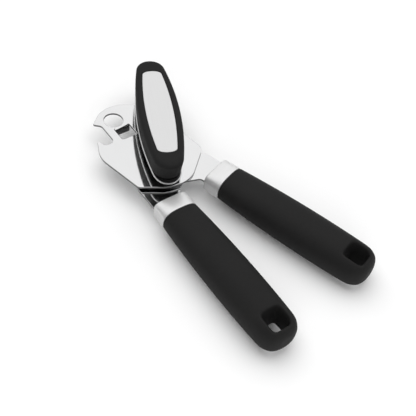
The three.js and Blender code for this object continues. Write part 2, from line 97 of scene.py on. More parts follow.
# radii of the turned pieces, and the gaps left round what runs and what is fixed
JOURNAL = 4.0
BUSH = 5.5
THREAD = 2.4
WHEEL_SQUARE, KNOB_SQUARE = 2.5, 2.8        # half sizes of the shaft's two squares
PIVOT_RIVET = 3.0
NOSE_RIVET = 2.2
NOSE_AT = (4, 14)
STUD_JOURNAL, STUD_SHOULDER, STUD_HEAD, STUD_TAIL = 3.0, 4.5, 5.0, 2.6
BLADE = 9.0
RUN_GAP = 0.06
FIXED_GAP = 0.1
INLAY_DEEP = 1.2
SCREW = 1.6
HEAD_HIGH = 1.6
KNOB_PLAN = (50.2, 13.8, 8.6, 6.8, 1.4)     # half length, middle, end, corner, bow
RIM_PLAN = (49.4, 13.3, 8.2, 6.6, 2.7)
INLAY_PLAN = (38.1, 9.2, 6.3, 2.8, 0.5)
CAP_TAPER = (3.2, 1.0)      # how much the cap draws in at its foot, along it and across
CAP_WALL = 2.8
BOSS = 7.5
BASE_DROP = 1.5             # from the rim's lower face down to the base plate's
LENS_END = 0.45             # share of a quarter's steps that goes round its end

PLATE_LOW, PLATE_TOP = 13.4, 15.0
STRIP_A = (span("moving_strip")[0].z, span("moving_strip")[1].z)
STRIP_B = (span("fixed_strip")[0].z, span("fixed_strip")[1].z)


# ---------------------------------------------------------------- finishes
class Value:
    """A shader socket that sums can be written with."""

    def __init__(self, finish, socket):
        self.finish = finish
        self.socket = socket

    def math(self, operation, first, second):
        return self.finish.node("ShaderNodeMath", {"operation": operation}, {0: first, 1: second})

    def __add__(self, other):
        return self.math("ADD", self, other)

    def __sub__(self, other):
        return self.math("SUBTRACT", self, other)

    def __rsub__(self, other):
        return self.math("SUBTRACT", other, self)

    def __mul__(self, other):
        return self.math("MULTIPLY", self, other)

    __radd__ = __add__
    __rmul__ = __mul__


class Finish:
    """A material and its nodes. Constants are set on the shader's own sockets."""

    def __init__(self, name, **constants):
        self.material = bpy.data.materials.new(name)
        self.material.use_nodes = True
        self.tree = self.material.node_tree
        self.shader = self.tree.nodes["Principled BSDF"]
        for socket, value in constants.items():
            self.shader.inputs[socket.replace("_", " ")].default_value = value

    def node(self, kind, settings, inputs, output=0):
        made = self.tree.nodes.new(kind)
        for key, value in settings.items():
            if key == "stops":
                self.set_stops(made.color_ramp, value)
            else:
                setattr(made, key, value)
        for key, value in inputs.items():
            self.feed(made.inputs[key], value)
        return Value(self, made.outputs[output])

    def set_stops(self, ramp, stops):
        for position, level in stops[len(ramp.elements):]:
            ramp.elements.new(position)
        for element, (position, level) in zip(ramp.elements, stops):
            element.position = position
            element.color = (level, level, level, 1)

    def feed(self, socket, value):
        if isinstance(value, Value):
            self.tree.links.new(value.socket, socket)
        else:
            socket.default_value = value

    def surface(self, **links):
        for socket, value in links.items():
            self.feed(self.shader.inputs[socket.replace("_", " ")], value)

    def place(self, stretch=(1, 1, 1), turn=0.0):
        """Points on the piece, turned about Z by turn and then stretched."""
        at = self.node("ShaderNodeTexCoord", {}, {}, output="Object")
        lined_up = self.node(
            "ShaderNodeVectorRotate", {"rotation_type": "Z_AXIS"}, {"Vector": at, "Angle": -turn}
        )
        return self.node(
            "ShaderNodeVectorMath", {"operation": "MULTIPLY"}, {0: lined_up, 1: stretch}
        )

    def noise(self, scale, detail=2.0, roughness=0.5, **where):
        at = self.place(**where)
        return self.node(
            "ShaderNodeTexNoise", {},
            {"Vector": at, "Scale": scale, "Detail": detail, "Roughness": roughness},
        )

    def specks(self, scale):
        return self.node(
            "ShaderNodeTexVoronoi", {"feature": "F1"}, {"Vector": self.place(), "Scale": scale}
        )

    def ramp(self, value, *stops):
        return self.node("ShaderNodeValToRGB", {"stops": stops}, {"Fac": value})

    def spread(self, value, low, high, start=0.0, end=1.0):
        return self.node(
            "ShaderNodeMapRange", {},
            {"Value": value, "From Min": start, "From Max": end, "To Min": low, "To Max": high},
        )

    def on_edge(self):
        """1 on walls that stand upright, such as a sheet's sheared edges, and 0 on its faces. The
        steel finishes darken their colour by it as painted shade.
        """
        facing = self.node("ShaderNodeTexCoord", {}, {}, output="Normal")
        rise = self.node("ShaderNodeSeparateXYZ", {}, {0: facing}, output="Z")
        return self.spread(rise * rise, 1.0, 0.0, start=0.05, end=0.4)

    def colours(self, share, first, second):
        """From the first colour to the second. Either may be a value of other nodes."""
        pair = [colour if isinstance(colour, Value) else (*colour, 1) for colour in (first, second)]
        return self.node(
            "ShaderNodeMix", {"data_type": "RGBA"}, {0: share, 6: pair[0], 7: pair[1]}, output=2
        )

    def bump(self, height, strength, distance):
        return self.node(
            "ShaderNodeBump", {}, {"Height": height, "Strength": strength, "Distance": distance}
        )


def polished_steel():
    """Stamped sheet, polished like a mirror, with hairline scratches, and rougher sheared edges
    whose colour is painted dark grey as shade.
    """
    steel = Finish("polished_steel", Metallic=1.0)
    haze = steel.noise(38, detail=4)
    hairs = steel.noise(900, detail=2, stretch=(1.0, 0.03, 1.0), turn=0.6)
    cross = steel.noise(1100, detail=2, stretch=(0.03, 1.0, 1.0), turn=0.25)
    scratches = steel.ramp(hairs, (0.66, 0.0), (0.74, 1.0)) + steel.ramp(
        cross, (0.68, 0.0), (0.76, 1.0)
    )
    # edge is 1 on upright walls. There the colour is painted dark grey (0.14) as painted shade,
    # standing for the shadowed floor the walls mirror. The added roughness there is the real
    # sheared finish.
    edge = steel.on_edge()
    face = steel.colours(haze, (0.86, 0.865, 0.87), (0.93, 0.93, 0.93))
    steel.surface(
        Base_Color=steel.colours(edge, face, (0.14, 0.14, 0.14)),
        Roughness=steel.spread(haze, 0.045, 0.11) + scratches * 0.05 + edge * 0.25,
        Normal=steel.bump(haze * 0.6 - scratches * 0.02, 0.05, 0.0004),
    )
    return steel.material


def brushed_steel(name, turn, base, rough, metal=1.0, side=0.0):
    """Steel with fine lines across the handle, or along the knob, its colour darkened by side on
    its upright walls as painted shade.
    """
    steel = Finish(name, Metallic=metal)
    fine = steel.noise(3200, detail=3, stretch=(0.02, 1.0, 0.02), turn=turn)
    coarse = steel.noise(900, detail=2, stretch=(0.03, 1.0, 0.03), turn=turn)
    cloud = steel.noise(60, detail=3)
    lines = fine * 0.6 + coarse * 0.4
    # Painted shade: the colour on upright walls is darkened by the share side.
    shade = base * (0.9 + lines * 0.1) * (1 - steel.on_edge() * side)
    steel.surface(
        Base_Color=steel.colours(shade, (0, 0, 0), (1, 1, 1)),
        Roughness=steel.spread(lines, rough - 0.06, rough + 0.08) + cloud * 0.04,
        Normal=steel.bump(lines, 0.22, 0.00006),
    )
    return steel.material


def hardened_steel():
    """Turned and hardened steel, darker, with tool marks and oil stains."""
    steel = Finish("hardened_steel", Metallic=1.0)
    marks = steel.noise(1500, detail=2, stretch=(0.1, 0.1, 1.0))
    stain = steel.noise(150, detail=5, roughness=0.6)
    steel.surface(
        Base_Color=steel.colours(stain, (0.42, 0.42, 0.43), (0.62, 0.61, 0.59)),
        Roughness=steel.spread(stain, 0.22, 0.38) + marks * 0.06,
        Normal=steel.bump(marks, 0.25, 0.00005),
    )
    return steel.material


def soft_black():
    """Soft-touch moulding: a fine even grain, a little dust-grey on top, no gloss."""
    soft = Finish("soft_black", Specular_IOR_Level=0.17)
    grain = soft.specks(1900)
    clouds = soft.noise(70, detail=4)
    rub = soft.noise(420, detail=3, roughness=0.65)
    soft.surface(
        Base_Color=soft.colours(clouds * 0.6 + rub * 0.4, (0.0095, 0.0095, 0.0098),
                                (0.0175, 0.0172, 0.0168)),
        Roughness=soft.spread(clouds, 0.58, 0.70) + grain * 0.08,
        Normal=soft.bump(grain + rub * 0.5, 0.35, 0.00006),
    )
    return soft.material


def hard_black():
    """Hard moulded plastic with a spark-eroded texture."""
    hard = Finish("hard_black", Specular_IOR_Level=0.35)
    pits = hard.specks(2600)
    clouds = hard.noise(120, detail=3)
    hard.surface(
        Base_Color=hard.colours(clouds, (0.008, 0.008, 0.008), (0.016, 0.016, 0.016)),
        Roughness=hard.spread(pits, 0.42, 0.56),
        Normal=hard.bump(pits, 0.4, 0.00005),
    )
    return hard.material


def nylon():
    """Dark nylon with a faint cloudiness."""
    plastic = Finish("nylon", Subsurface_Weight=0.05)
    clouds = plastic.noise(300, detail=3)
    plastic.surface(
        Base_Color=plastic.colours(clouds, (0.035, 0.035, 0.037), (0.055, 0.055, 0.055)),
        Roughness=plastic.spread(clouds, 0.36, 0.48),
        Normal=plastic.bump(clouds, 0.15, 0.0001),
    )
    return plastic.material


def floor_paper():
    paper = Finish("floor_paper", Roughness=0.9, Specular_IOR_Level=0.05)
    fibre = paper.noise(30, detail=3)
    paper.surface(Base_Color=paper.colours(fibre, (0.93, 0.93, 0.93), (0.95, 0.95, 0.95)))
    return paper.material


POLISHED = polished_steel()
HARDENED = hardened_steel()
SOFT = soft_black()
HARD = hard_black()
NYLON = nylon()
# side darkens the collars' upright walls by 30% as painted shade.
COLLAR_SATIN_AND_WALL_SHADE = {"base": 0.95, "rough": 0.4, "metal": 0.78, "side": 0.3}
COLLAR_A = brushed_steel("brushed_collar_a", OPEN_ANGLE, **COLLAR_SATIN_AND_WALL_SHADE)
COLLAR_B = brushed_steel("brushed_collar_b", 0.0, **COLLAR_SATIN_AND_WALL_SHADE)
INLAY = brushed_steel("brushed_inlay", KNOB_ANGLE, base=0.90, rough=0.34)
RIM = brushed_steel("bright_rim", KNOB_ANGLE, base=0.74, rough=0.14)


# ---------------------------------------------------------------- finishing a piece
def piece(name, bm, body, slot, finish, nodes, turn=0.0, about=(0, 0, 0), sharp=32.0):
    """Puts a drawn shape in its place, in metres, on its body, in place of its CAD nodes."""
    bmesh.ops.remove_doubles(bm, verts=bm.verts, dist=1e-4)
    bmesh.ops.rotate(bm, verts=bm.verts, matrix=Matrix.Rotation(turn, 3, "Z"))
    bmesh.ops.translate(bm, verts=bm.verts, vec=about)
    bmesh.ops.scale(bm, verts=bm.verts, vec=(MM, MM, MM))
    bmesh.ops.recalc_face_normals(bm, faces=bm.faces)
    if bm.calc_volume(signed=True) < 0:
        bmesh.ops.reverse_faces(bm, faces=bm.faces)
    for face in bm.faces:
        face.smooth = True
    for edge in bm.edges:
        edge.smooth = len(edge.link_faces) == 2 and not is_sharp(edge, sharp)
    mesh = bpy.data.meshes.new(name)
    bm.to_mesh(mesh)
    bm.free()
    mesh.materials.append(finish)
    made = bpy.data.objects.new(name, mesh)
    bpy.context.scene.collection.objects.link(made)
    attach(made, body)
    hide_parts(*nodes)
    return made


def is_sharp(edge, limit):
    """True on a real corner, and where a flat face of a sheet meets its rounded edge."""
    first, second = edge.link_faces
    flat = [abs(face.normal.z) > 0.9999 for face in (first, second)]
    return edge.calc_face_angle(0) > math.radians(limit) or flat[0] != flat[1]


def subdivided(made, levels):
    smooth = made.modifiers.new("smooth", "SUBSURF")
    smooth.levels = levels
    smooth.render_levels = levels
    return made


def dress(node, finish):
    """Gives a CAD node that stays in view a finish."""
    shown = frame["nodes"][node]
    if not shown.material_slots:
        shown.data.materials.append(finish)
    for slot in shown.material_slots:
        slot.material = finish


# ---------------------------------------------------------------- drawing
def rounded(bm, corners):
    """A flat face from corners (x, y, radius)."""
    verts = [bm.verts.new((x, y, 0)) for x, y, _ in corners]
    bm.faces.new(verts)
    places = [vert.co.copy() for vert in verts]
    count = len(corners)
    for i, vert in enumerate(verts):
        radius = corners[i][2]
        if not radius:
            continue
        back = places[i - 1] - places[i]
        ahead = places[(i + 1) % count] - places[i]
        half = back.angle(ahead) / 2
        reach = radius / math.tan(half)
        steps = max(3, min(14, round((math.pi - 2 * half) * (3 + radius / 2))))
        bmesh.ops.bevel(
            bm, geom=[vert], offset=reach, offset_type="OFFSET", segments=steps, profile=0.5,
            affect="VERTICES", material=-1, clamp_overlap=False,
        )


def round_hole(x, y, r, steps=64):
    def draw(bm):
        bmesh.ops.create_circle(
            bm, segments=steps, radius=r, matrix=Matrix.Translation((x, y, 0))
        )
    return draw


def square_hole(x, y, wide, long, radius):
    w, l = wide / 2, long / 2

    def draw(bm):
        rounded(bm, [(x - w, y - l, radius), (x + w, y - l, radius),
                     (x + w, y + l, radius), (x - w, y + l, radius)])
    return draw


def sheet(draw_edge, holes, low, high, soft):
    """A flat sheet with holes, its edges rounded off by soft."""
    bm = bmesh.new()
    draw_edge(bm)
    for hole in holes:
        hole(bm)
    bmesh.ops.delete(bm, geom=bm.faces[:], context="FACES_ONLY")
    bmesh.ops.triangle_fill(bm, use_beauty=True, use_dissolve=False, edges=bm.edges[:])
    bmesh.ops.translate(bm, verts=bm.verts, vec=(0, 0, low + soft))
    grown = bmesh.ops.extrude_face_region(bm, geom=bm.faces[:])["geom"]
    verts = [item for item in grown if isinstance(item, bmesh.types.BMVert)]
    bmesh.ops.translate(bm, verts=verts, vec=(0, 0, high - low - 2 * soft))
    bmesh.ops.recalc_face_normals(bm, faces=bm.faces)
    round_off_caps(bm, soft)
    return bm


def round_off_caps(bm, soft):
    """Rounds the rims of the flat top and bottom by a quarter turn."""
    bm.normal_update()
    steps = 3
    for side in (1, -1):
        cap = [face for face in bm.faces if face.normal.z * side > 0.999]
        for i in range(steps):
            here = math.radians(90 * i / steps)
            there = math.radians(90 * (i + 1) / steps)
            bmesh.ops.inset_region(
                bm, faces=cap, use_boundary=True, use_even_offset=True,
                thickness=soft * (math.cos(here) - math.cos(there)),
                depth=soft * (math.sin(there) - math.sin(here)),
            )


def turned(profile, at=(0, 0), soft=0.12, steps=96, closed=False):
    """A turned piece about Z, from (radius, height) points."""
    bm = bmesh.new()
    verts = [bm.verts.new((r, 0, z)) for r, z in profile]
    pairs = list(zip(verts, verts[1:]))
    if closed:
        pairs.append((verts[-1], verts[0]))
    edges = [bm.edges.new(pair) for pair in pairs]
    bmesh.ops.spin(
        bm, geom=verts + edges, cent=(0, 0, 0), axis=(0, 0, 1), dvec=(0, 0, 0),
        angle=2 * math.pi, steps=steps, use_merge=True,
    )
    bmesh.ops.remove_doubles(bm, verts=bm.verts, dist=1e-4)
    bmesh.ops.recalc_face_normals(bm, faces=bm.faces)
    if soft:
        corners = [edge for edge in bm.edges if edge.calc_face_angle(0) > math.radians(24)]
        bmesh.ops.bevel(
            bm, geom=corners, offset=soft, offset_type="OFFSET", segments=2, profile=0.5,
            affect="EDGES", material=-1, clamp_overlap=True,
        )
    bmesh.ops.translate(bm, verts=bm.verts, vec=(at[0], at[1], 0))
    return bm


def add_shape(bm, other):
    """Adds a second drawn shape to the first."""
    mesh = bpy.data.meshes.new("shape")
    other.to_mesh(mesh)
    other.free()
    bm.from_mesh(mesh)
    bpy.data.meshes.remove(mesh)


def washer(inner, node, at=(0, 0), soft=0.12):
    low, high = span(node)
    outer = (high.x - low.x) / 2
    return turned(
        [(inner, low.z), (outer, low.z), (outer, high.z), (inner, high.z)],
        at=at, soft=soft, closed=True,
    )


def loft(count, stations, close_start=True, close_end=True):
    """A tube through stations. Each station gives a point for a share of the way round."""
    bm = bmesh.new()
    turn = bm.verts.layers.float.new("turn")
    verts = bmesh.ops.create_circle(bm, segments=count, radius=1)["verts"]
    for i, vert in enumerate(verts):
        vert[turn] = i / count
    edges = bm.edges[:]
    if close_start:
        bm.faces.new(verts)
    for number, station in enumerate(stations):
        if number:
            grown = bmesh.ops.extrude_edge_only(bm, edges=edges)["geom"]
            verts = [item for item in grown if isinstance(item, bmesh.types.BMVert)]
            ring = set(verts)
            edges = [
                item for item in grown
                if isinstance(item, bmesh.types.BMEdge) and set(item.verts) <= ring
            ]
        for vert in verts:
            vert.co = station(vert[turn])
    if close_end:
        bmesh.ops.edgeloop_fill(bm, edges=edges)
    return bm


def soften(value, power):
    return math.copysign(abs(value) ** (2 / power), value)


def oval(wide, high, power, x, y, z):
    """A rounded oval across Y."""
    def station(share):
        angle = 2 * math.pi * share
        return Vector((
            x + wide * soften(math.cos(angle), power), y, z + high * soften(math.sin(angle), power)
        ))
    return station


def parabola(sizes, t):
    front, middle, end = sizes
    return front * (1 - t) * (1 - 2 * t) + 4 * middle * t * (1 - t) + end * t * (2 * t - 1)


# ---------------------------------------------------------------- handles
HOLE_AT = GRIP_LENGTH - HOLE_FROM_END
HOLE_SOFT = 8.3             # half size of the hang hole where its rim starts to turn in
HOLE_RIM = ((7.25, -0.9, 0.955), (HOLE_HALF, -2.9, 0.97))      # half size, depth, corner
HOLE_FOOT = ((7.8, -0.9, 0.955), (7.4, -5.5, 0.97))
GRIP_SQUARE = 2.5
CAGE = 1.012                # makes up for the smoothed surface lying inside its cage


def grip_size(s, inset):
    """Half width and half height of the grip at a distance s from its front."""
    t = s / GRIP_LENGTH
    wide = parabola(GRIP_WIDE, t) - inset
    high = parabola(GRIP_HIGH, t) - inset
    into = max(0.0, s - (GRIP_LENGTH - GRIP_END_ROUND))
    wide -= GRIP_END_ROUND - math.sqrt(max(0.0, GRIP_END_ROUND ** 2 - into ** 2))
    into = max(0.0, s - (GRIP_LENGTH - GRIP_EDGE_ROUND))
    high -= GRIP_EDGE_ROUND - math.sqrt(max(0.0, GRIP_EDGE_ROUND ** 2 - into ** 2))
    return wide * CAGE, high * CAGE


def grip_ring(s, inset=0.0):
    """Sixteen corners round the grip: four steps across its flat top, and four down each side."""
    wide, high = grip_size(s, inset)
    flat = min(HOLE_SOFT, wide * 0.62)
    corner = math.acos((flat / wide) ** (GRIP_SQUARE / 2))

    def station(share):
        step = round(share * 16)
        quarter, left = divmod(step + 2, 4)
        if quarter % 2:
            side = 1 if quarter == 1 else -1
            x = side * flat * (1 - left / 2)
            lift = (1 - (abs(x) / wide) ** GRIP_SQUARE) ** (1 / GRIP_SQUARE)
            return Vector((x, -s, side * high * lift))
        side = 1 if quarter % 4 == 0 else -1
        angle = side * corner * (left / 2 - 1)
        return Vector((
            side * wide * soften(math.cos(angle), GRIP_SQUARE), -s,
            high * soften(math.sin(angle), GRIP_SQUARE),
        ))
    return station


def soft_grip():
    """The whole grip about its own front: pocket, front lip, outside and rounded end."""
    inside = [grip_ring(s, GRIP_WALL) for s in (POCKET_DEPTH, 60, 30, 1.2, 0.35)]
    lip = [grip_ring(0.02, GRIP_WALL * 0.86), grip_ring(0.02, 0.45)]
    steps = [0.3, 1.2, 8, 20, 34, 48, 62, 75, 84]
    steps += [HOLE_AT - HOLE_SOFT + HOLE_SOFT * i / 2 for i in range(5)]
    steps += [GRIP_LENGTH - 1.7, GRIP_LENGTH - 0.35, GRIP_LENGTH + 0.25]
    outside = [grip_ring(min(s, GRIP_LENGTH)) for s in steps]
    bm = loft(16, inside + lip + outside)
    bmesh.ops.recalc_face_normals(bm, faces=bm.faces)
    hang_hole(bm)
    return bm


def hang_hole(bm):
    """Opens the hang hole from both sides, with rims that turn in softly."""
    bm.normal_update()
    centre = Vector((0, -HOLE_AT, 0))

    def in_hole(face):
        off = face.calc_center_median() - centre
        inside = abs(off.x) < HOLE_SOFT and abs(off.y) < HOLE_SOFT
        return inside and abs(face.normal.z) > 0.5

    for side in (1, -1):
        doomed = [face for face in bm.faces if in_hole(face) and face.normal.z * side > 0]
        rim = [
            edge for edge in {edge for face in doomed for edge in face.edges}
            if sum(face in doomed for face in edge.link_faces) == 1
        ]
        bmesh.ops.delete(bm, geom=doomed, context="FACES")
        rim = [edge for edge in rim if edge.is_valid]
        depths = (HOLE_RIM if side > 0 else HOLE_FOOT) + ((HOLE_HALF, None, 1.0),)
        size = HOLE_SOFT
        for half, depth, tuck in depths:
            grown = bmesh.ops.extrude_edge_only(bm, edges=rim)["geom"]
            verts = [item for item in grown if isinstance(item, bmesh.types.BMVert)]
            ring = set(verts)
            rim = [
                item for item in grown
                if isinstance(item, bmesh.types.BMEdge) and set(item.verts) <= ring
            ]
            for vert in verts:
                off = (vert.co - centre) / size
                on_corner = abs(off.x * off.y) > 0.8
                share = half * (tuck if on_corner else 1.0)
                vert.co.x = off.x * share
                vert.co.y = centre.y + off.y * share
                if depth is None:
                    vert.co.z = 0
                elif depth < -2:
                    vert.co.z = side * (GRIP_HIGH[2] + depth)
                else:
                    vert.co.z += side * depth
            size = half


def collar():
    """The steel collar about the grip's front: a shell with a slot for the strip."""
    wide, high = COLLAR_FRONT
    rear_wide = GRIP_WIDE[0] - COLLAR_STEP
    rear_high = GRIP_HIGH[0] - COLLAR_STEP
    tip = COLLAR_LENGTH
    edge = 0.9

    def outer(t, drop=0.0):
        bend = t ** 1.25
        return oval(
            rear_wide + (wide - rear_wide) * t - drop, rear_high + (high - rear_high) * bend - drop,
            2.7 + 1.7 * t, 0, 0.3 + (tip - 0.3) * t, 0,
        )

    stations = [outer(0.0, 0.25), outer(0.012, 0.07), outer(0.03)]
    stations += [outer(t / 10) for t in range(1, 10)]
    for i in range(5):
        angle = math.radians(90 * i / 4)
        at = (tip - edge + edge * math.sin(angle) - 0.3) / (tip - 0.3)
        stations.append(outer(at, edge * (1 - math.cos(angle))))
    slot = (STRIP_HALF + 0.25, 1.0)
    stations += [
        oval(slot[0] + 0.3, slot[1] + 0.3, 14, 0, tip, 0),
        oval(slot[0], slot[1], 14, 0, tip - 0.3, 0),
        oval(slot[0], slot[1], 14, 0, tip - COLLAR_WALL, 0),
        oval(wide - COLLAR_WALL, high - COLLAR_WALL, 2.6, 0, tip - COLLAR_WALL, 0),
        oval(rear_wide - COLLAR_WALL, rear_high - COLLAR_WALL, 2.6, 0, 0.3, 0),
        outer(0.0, 0.25),
    ]
    return loft(96, stations, close_start=False, close_end=False)


def handle(letter, side, body, turn, collar_finish, strip):
    """The grip, collar and core of one lever. side is -1 left of the pivot and 1 right of it."""
    front = Vector((side * HANDLE_OFFSET, -HANDLE_FRONT, GRIP_CENTRE))
    grip = soft_grip()
    bmesh.ops.translate(grip, verts=grip.verts, vec=front)
    made = piece(
        f"soft_grip_{letter}", grip, body, "soft_black", SOFT, [f"grip_{letter}"],
        turn=turn, about=(PIVOT.x, PIVOT.y, 0), sharp=180,
    )
    subdivided(made, 3)
    ring = collar()
    middle = (strip[0] + strip[1]) / 2 - GRIP_CENTRE
    for vert in ring.verts:
        if abs(vert.co.z) < 1.4 and vert.co.y > COLLAR_LENGTH - COLLAR_WALL - 0.01:
            vert.co.z += middle * (1 if abs(vert.co.x) < STRIP_HALF + 0.6 else 0)
    bmesh.ops.translate(ring, verts=ring.verts, vec=front)
    piece(
        f"steel_collar_{letter}", ring, body, "brushed_steel", collar_finish,
        [f"collar_{letter}"], turn=turn, about=(PIVOT.x, PIVOT.y, 0),
    )
    dress(f"core_{letter}", HARD)


def strip_end(side):
    """Corners of a strip's end: full width into the collar, then the narrower tang."""
    x = side * HANDLE_OFFSET
    neck = -HANDLE_FRONT + COLLAR_LENGTH - COLLAR_WALL - STRIP_SHOULDER
    tail = -HANDLE_FRONT - TANG_LENGTH
    return [
        (x - STRIP_HALF, neck, 0.6), (x - TANG_HALF, neck, 0.6), (x - TANG_HALF, tail, 3),
        (x + TANG_HALF, tail, 3), (x + TANG_HALF, neck, 0.6), (x + STRIP_HALF, neck, 0.6),
    ]


# ---------------------------------------------------------------- fixed lever
TONGUE = {"x": -17.55, "near": 6.7, "far": 16.0, "wide": 11.7, "round": 1.2, "bend": 1.9}
TONGUE_DROP = 5.4           # from the plate's top down to the tongue's end


def head_plate():
    """The nose plate, with its bottle opener, round hole and bent tongue."""
    corners = [
        (-29.25, 7.8, 3.2), (-29.25, 24.6, 3.5), (-33.9, 28.6, 1.3), (-22.5, 37.6, 16),
        (-7.5, 38.0, 18), (5.5, 28.0, 14), (14.0, 2.0, 30), (19.6, -26.2, 7), (-3.5, -46.4, 18),
        (-20.5, -44.6, 20), (-37.4, -34.8, 3.5), (-45.6, -0.5, 16), (-38.6, 15.0, 1.2),
        (-36.4, 7.4, 3),
    ]
    far = TONGUE["far"] + TONGUE["bend"]
    window = square_hole(
        TONGUE["x"], (TONGUE["near"] + far) / 2, TONGUE["wide"], far - TONGUE["near"],
        TONGUE["round"],
    )
    holes = [
        round_hole(0, 0, BUSH + FIXED_GAP),
        round_hole(PIVOT.x, PIVOT.y, PIVOT_RIVET + FIXED_GAP),
        round_hole(*NOSE_AT, NOSE_RIVET + FIXED_GAP),
        round_hole(-19.2, 25.5, 6.6, 96),
        window,
    ]
    bm = sheet(lambda made: rounded(made, corners), holes, PLATE_LOW, PLATE_TOP, 0.4)
    bent_tongue(bm, far)
    return piece("nose_plate", bm, "fixed_lever", "polished_steel", POLISHED, ["head_plate"])


def bent_tongue(bm, far):
    """The tongue cut from the window, bent down at its far side."""
    half = TONGUE["wide"] / 2 - 0.35
    thick = PLATE_TOP - PLATE_LOW
    front, back = far - TONGUE["bend"], far + 0.4
    foot = PLATE_TOP - TONGUE_DROP
    tongue = bmesh.new()
    rounded(tongue, [
        (back, PLATE_TOP, 0), (front, PLATE_TOP, TONGUE["bend"]), (front, foot, 0),
        (front + thick, foot, 0), (front + thick, PLATE_LOW, TONGUE["bend"] - thick),
        (back, PLATE_LOW, 0),
    ])
    grown = bmesh.ops.extrude_face_region(tongue, geom=tongue.faces[:])["geom"]
    moved = [item for item in grown if isinstance(item, bmesh.types.BMVert)]
    bmesh.ops.translate(tongue, verts=moved, vec=(0, 0, 2 * half))
    across = Matrix(((0, 0, 1), (1, 0, 0), (0, 1, 0)))
    bmesh.ops.rotate(tongue, verts=tongue.verts, matrix=across)
    bmesh.ops.translate(tongue, verts=tongue.verts, vec=(TONGUE["x"] - half, 0, 0))
    add_shape(bm, tongue)


def fixed_strip():
    corners = [
        *strip_end(-1),
        (-HANDLE_OFFSET + STRIP_HALF, -28.0, 3), (2.0, -21.5, 6), (8.5, -8.0, 12),
        (18.5, 10.0, 8), (20.0, 41.0, 5), (7.5, 41.0, 5), (1.6, 27.0, 8), (1.6, 17.5, 6),
        (-12.0, 4.0, 14), (-HANDLE_OFFSET - STRIP_HALF, -7.0, 10),
    ]
    holes = [
        round_hole(-PIVOT.x, -PIVOT.y, BUSH + FIXED_GAP),
        round_hole(0, 0, PIVOT_RIVET + FIXED_GAP),
        round_hole(NOSE_AT[0] - PIVOT.x, NOSE_AT[1] - PIVOT.y, NOSE_RIVET + FIXED_GAP),
    ]
    bm = sheet(lambda made: rounded(made, corners), holes, *STRIP_B, 0.22)
    return piece(
        "fixed_arm", bm, "fixed_lever", "polished_steel", POLISHED, ["fixed_strip"],
        about=(PIVOT.x, PIVOT.y, 0),
    )


def shaft_bush():
    low, high = span("shaft_bush")
    inner = JOURNAL + RUN_GAP
    bm = turned([
        (inner, low.z), (BUSH + 0.9, low.z), (BUSH + 0.9, STRIP_B[0] - 0.02),
        (BUSH, STRIP_B[0] - 0.02), (BUSH, PLATE_TOP + 0.02), (high.x, PLATE_TOP + 0.02),
        (high.x, high.z), (inner, high.z),
    ], closed=True)
    return piece("shaft_bush_turned", bm, "fixed_lever", "hardened_steel", HARDENED, ["shaft_bush"])


def rivet(name, node, radius, at, low_face):
    """A rivet with a low domed head above and a flatter one below."""
    low, high = span(node)
    head = (high.x - low.x) / 2
    dome = high.z - PLATE_TOP
    top = [
        (head * math.cos(angle), PLATE_TOP + 0.02 + dome * math.sin(angle))
        for angle in (math.radians(90 * i / 7) for i in range(8))
    ]
    below = [
        (head * math.cos(angle), low_face - (low_face - low.z) * math.sin(angle))
        for angle in (math.radians(90 * i / 6) for i in range(6, -1, -1))
    ]
    bm = turned(below + [(radius, low_face), (radius, PLATE_TOP + 0.02)] + top, at=at, soft=0)
    return piece(name, bm, "fixed_lever", "polished_steel", POLISHED, [node])


def fixed_lever():
    head_plate()
    fixed_strip()
    shaft_bush()
    washer_low = span("pivot_washer")[0].z
    rivet("pivot_rivet_domed", "pivot_rivet", PIVOT_RIVET, PIVOT, washer_low - 0.05)
    rivet("nose_rivet_domed", "nose_rivet", NOSE_RIVET, NOSE_AT, STRIP_B[0] - 0.05)
    rings = (
        ("pivot_washer_flat", "pivot_washer", PIVOT_RIVET, PIVOT),
        ("bush_spacer_ring", "bush_spacer", BUSH, (0, 0)),
        ("nose_spacer_ring", "nose_spacer", NOSE_RIVET, NOSE_AT),
    )
    for name, node, inner, at in rings:
        ring = washer(inner + FIXED_GAP, node, at=at)
        piece(name, ring, "fixed_lever", "hardened_steel", HARDENED, [node])
    handle("b", -1, "fixed_lever", 0.0, COLLAR_B, STRIP_B)


# ---------------------------------------------------------------- moving lever
def moving_strip():
    nose = 8.0
    at = Matrix.Rotation(-OPEN_ANGLE, 3, "Z") @ (CUTTER - PIVOT)
    corners = [
        *strip_end(1),
        (HANDLE_OFFSET + STRIP_HALF, -16.0, 12), (12.0, 3.0, 12), (2.0, 13.0, 8),
        (at.x + nose, at.y + nose, nose - 0.2), (at.x - nose, at.y + nose, nose - 0.2),
        (-14.6, 2.0, 10), (-13.0, -18.0, 9), (-3.0, -22.5, 4),
        (HANDLE_OFFSET - STRIP_HALF, -28.5, 3),
    ]
    holes = [
        round_hole(0, 0, PIVOT_RIVET + RUN_GAP), round_hole(at.x, at.y, STUD_TAIL + FIXED_GAP)
    ]
    bm = sheet(lambda made: rounded(made, corners), holes, *STRIP_A, 0.22)
    return piece(
        "moving_arm", bm, "moving_lever", "polished_steel", POLISHED, ["moving_strip"],
        turn=OPEN_ANGLE, about=(PIVOT.x, PIVOT.y, 0),
    )


def cutter_stud():
    low, high = span("cutter_stud")
    wheel_low, wheel_high = span("cutting_wheel")[0].z, span("cutting_wheel")[1].z
    bm = turned([
        (0, low.z + 0.25), (1.6, low.z + 0.2), (4.2, low.z), (STUD_HEAD, low.z + 0.6),
        (STUD_HEAD, wheel_low - FIXED_GAP), (STUD_JOURNAL, wheel_low - FIXED_GAP),
        (STUD_JOURNAL, wheel_high + FIXED_GAP), (STUD_SHOULDER, wheel_high + FIXED_GAP),
        (STUD_SHOULDER, STRIP_A[0] - 0.02), (STUD_TAIL, STRIP_A[0] - 0.02),
        (STUD_TAIL, high.z), (0, high.z),
    ], at=CUTTER)
    return piece("wheel_stud", bm, "moving_lever", "hardened_steel", HARDENED, ["cutter_stud"])


